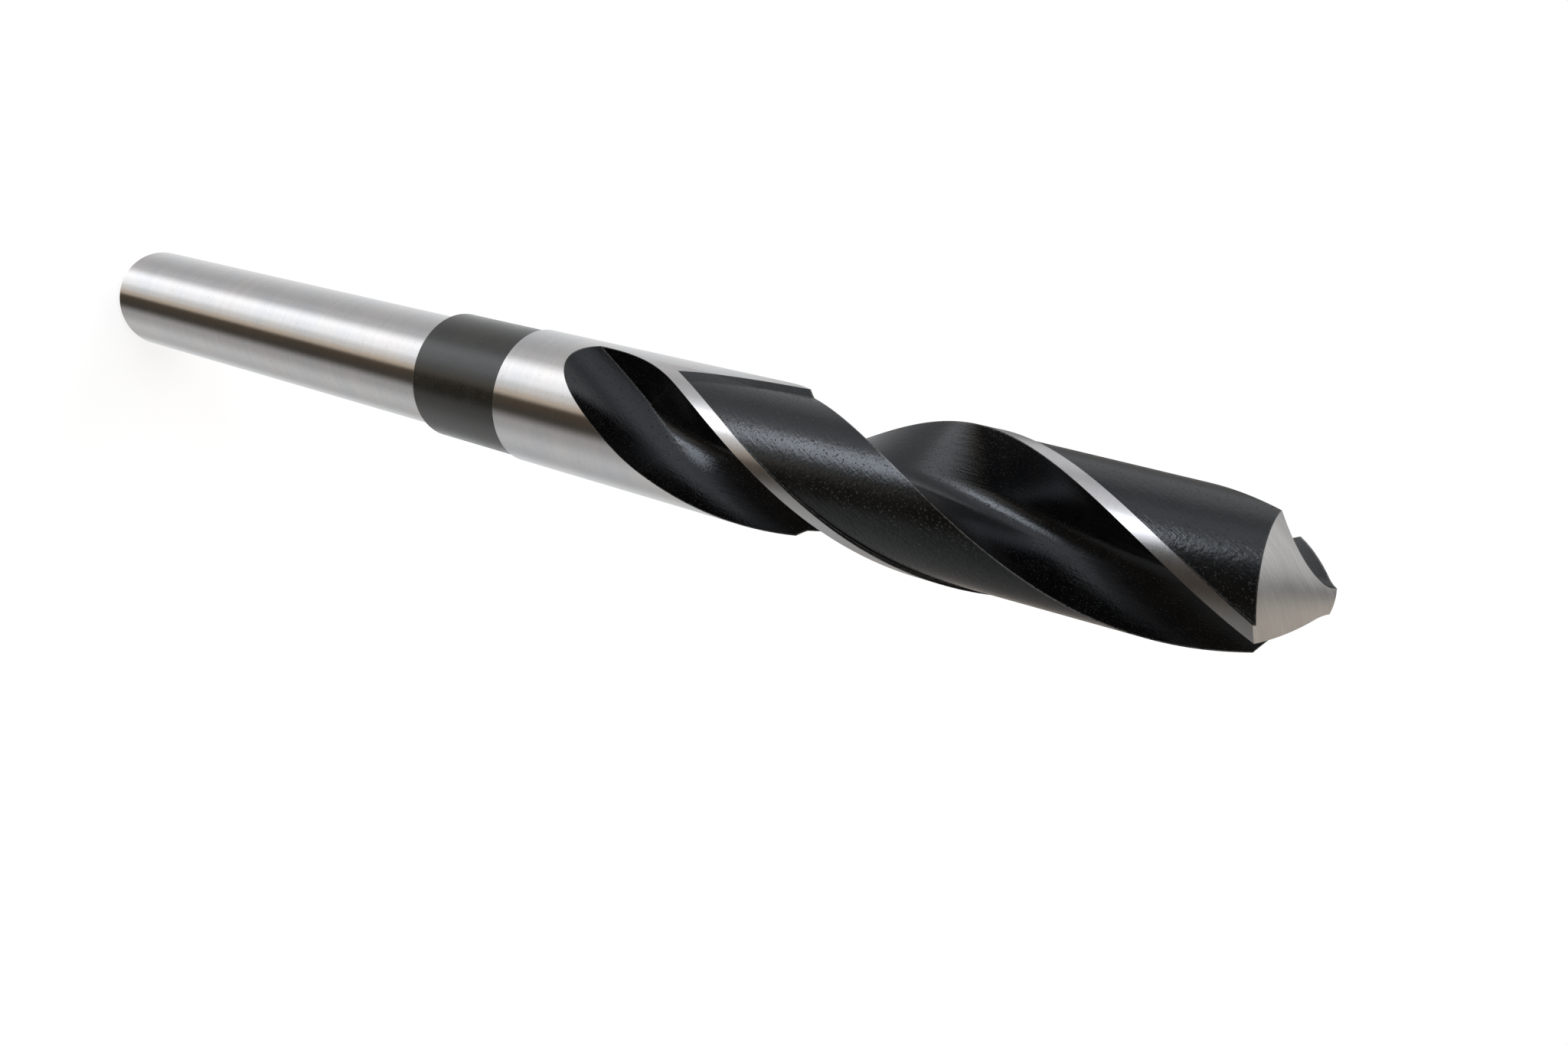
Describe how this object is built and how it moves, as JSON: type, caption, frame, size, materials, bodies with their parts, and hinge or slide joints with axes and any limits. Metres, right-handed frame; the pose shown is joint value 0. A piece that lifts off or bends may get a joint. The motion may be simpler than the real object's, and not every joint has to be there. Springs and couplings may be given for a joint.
{
  "type": "twist drill bit",
  "caption": "Reduced-shank twist drill: straight ground shank, dark neck band, two helical flutes and a conical cutting point.",
  "frame": {"origin": "centre of the shank's end face", "axes": "+Z along the drill axis, from the shank to the point; +X over the flute wheel's first centre"},
  "size_m": [0.0146, 0.0146, 0.1524],
  "materials": {
    "drill_steel": "ground bright on shank, margins, body and point; black oxide on neck band, flutes and lands"
  },
  "bodies": {
    "root": {"twist_drill": "drill_steel"}
  },
  "joints": []
}
